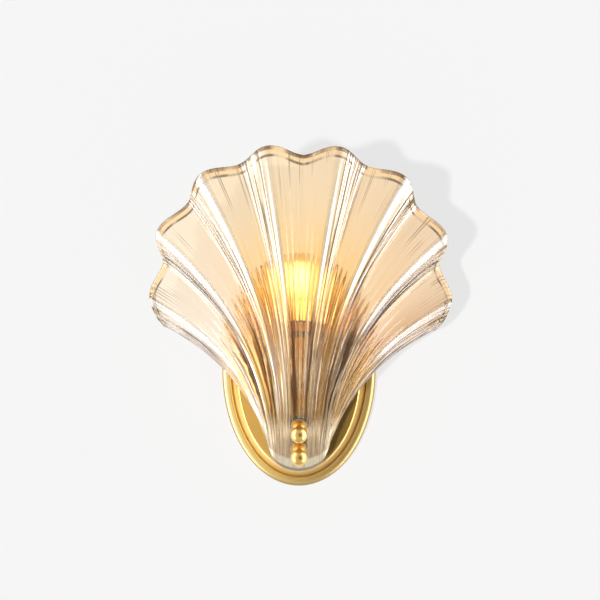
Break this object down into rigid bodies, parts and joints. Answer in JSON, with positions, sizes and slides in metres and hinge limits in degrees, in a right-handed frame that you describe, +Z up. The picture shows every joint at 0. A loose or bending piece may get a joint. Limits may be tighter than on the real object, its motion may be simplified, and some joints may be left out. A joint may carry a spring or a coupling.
{
  "type": "shell wall sconce",
  "caption": "Wall sconce: a fluted scallop-shell glass shade on an oval brass backplate, held at its foot by ball nuts, around an upright lampholder and globe bulb.",
  "frame": {"origin": "on the wall plane, midway between the two wall holes of the mounting strap, behind the middle of the oval backplate", "axes": "+Y into the wall, +Z up, +X to the right for someone facing the wall"},
  "size_m": [0.2343, 0.13, 0.2581],
  "materials": {
    "brass_satin": "satin brushed, warm gold",
    "polished_brass": "polished",
    "brass_hardware": "plain turned",
    "zinc_steel": "zinc plated",
    "amber_glass": "clear pressed glass with a pale champagne tint",
    "black_plastic": "matt heat-resistant moulding",
    "white_plastic": "natural moulding",
    "nickel_contact": "nickel plated",
    "nickel_cap": "rolled thread",
    "frosted_bulb": "inside-frosted, lit warm white",
    "clear_rubber": "translucent silicone",
    "black_rubber": "matt",
    "brown_sleeving": "smooth sleeving",
    "blue_sleeving": "smooth sleeving"
  },
  "bodies": {
    "fitting": {"backplate": "brass_satin", "mounting_strap": "zinc_steel", "shell_glass": "amber_glass", "shade_bracket": "brass_satin", "holder_bracket": "brass_satin", "backplate_screws": "brass_hardware", "shade_bracket_screw": "brass_hardware", "shade_bracket_nut": "zinc_steel", "holder_bracket_screw": "brass_hardware", "holder_bracket_nut": "zinc_steel", "lampholder_body": "black_plastic", "lampholder_cup": "brass_satin", "lampholder_ring": "brass_hardware", "lampholder_thread_sleeve": "nickel_contact", "lampholder_contact": "nickel_contact", "lampholder_nipple": "zinc_steel", "lampholder_lock_washer": "zinc_steel", "lampholder_hex_nut": "zinc_steel", "terminal_block": "white_plastic", "terminal_screws": "zinc_steel", "terminal_block_screw": "zinc_steel", "earth_screw": "brass_hardware", "cable_grommet": "black_rubber", "live_lead": "brown_sleeving", "neutral_lead": "blue_sleeving", "upper_stud": "zinc_steel", "upper_back_rubber_washer": "clear_rubber", "upper_front_rubber_washer": "clear_rubber", "lower_stud": "zinc_steel", "lower_back_rubber_washer": "clear_rubber", "lower_front_rubber_washer": "clear_rubber"},
    "upper_washer": {"upper_brass_washer": "polished_brass"},
    "upper_nut": {"upper_ball_nut": "polished_brass"},
    "lower_washer": {"lower_brass_washer": "polished_brass"},
    "lower_nut": {"lower_ball_nut": "polished_brass"},
    "bulb_tip": {"bulb_contact": "nickel_contact"},
    "bulb": {"bulb_globe": "frosted_bulb", "bulb_cap": "nickel_cap", "bulb_insulator": "black_plastic"}
  },
  "joints": [
    {"name": "upper_nut_travel", "type": "slide", "parent": "fitting", "child": "upper_washer", "axis": [0, -0.788, -0.6157], "range_m": [0, 0.0084]},
    {"name": "upper_nut_turn", "type": "hinge", "parent": "upper_washer", "child": "upper_nut", "pos_m": [0, -0.06104, -0.04313], "axis": [0, -0.788, -0.6157], "range_deg": [0, 4320]},
    {"name": "lower_nut_travel", "type": "slide", "parent": "fitting", "child": "lower_washer", "axis": [0, -0.788, -0.6157], "range_m": [0, 0.0084]},
    {"name": "lower_nut_turn", "type": "hinge", "parent": "lower_washer", "child": "lower_nut", "pos_m": [0, -0.04712, -0.06094], "axis": [0, -0.788, -0.6157], "range_deg": [0, 4320]},
    {"name": "bulb_travel", "type": "slide", "parent": "fitting", "child": "bulb_tip", "axis": [0, 0, 1], "range_m": [0, 0.0225]},
    {"name": "bulb_turn", "type": "hinge", "parent": "bulb_tip", "child": "bulb", "pos_m": [0, -0.054, 0.0684], "axis": [0, 0, 1], "range_deg": [0, 2880]}
  ],
  "couplings": [
    {"joint": "upper_nut_turn", "follows": "upper_nut_travel", "rad_per_m": 8976},
    {"joint": "lower_nut_turn", "follows": "lower_nut_travel", "rad_per_m": 8976},
    {"joint": "bulb_turn", "follows": "bulb_travel", "rad_per_m": 2228.1}
  ]
}
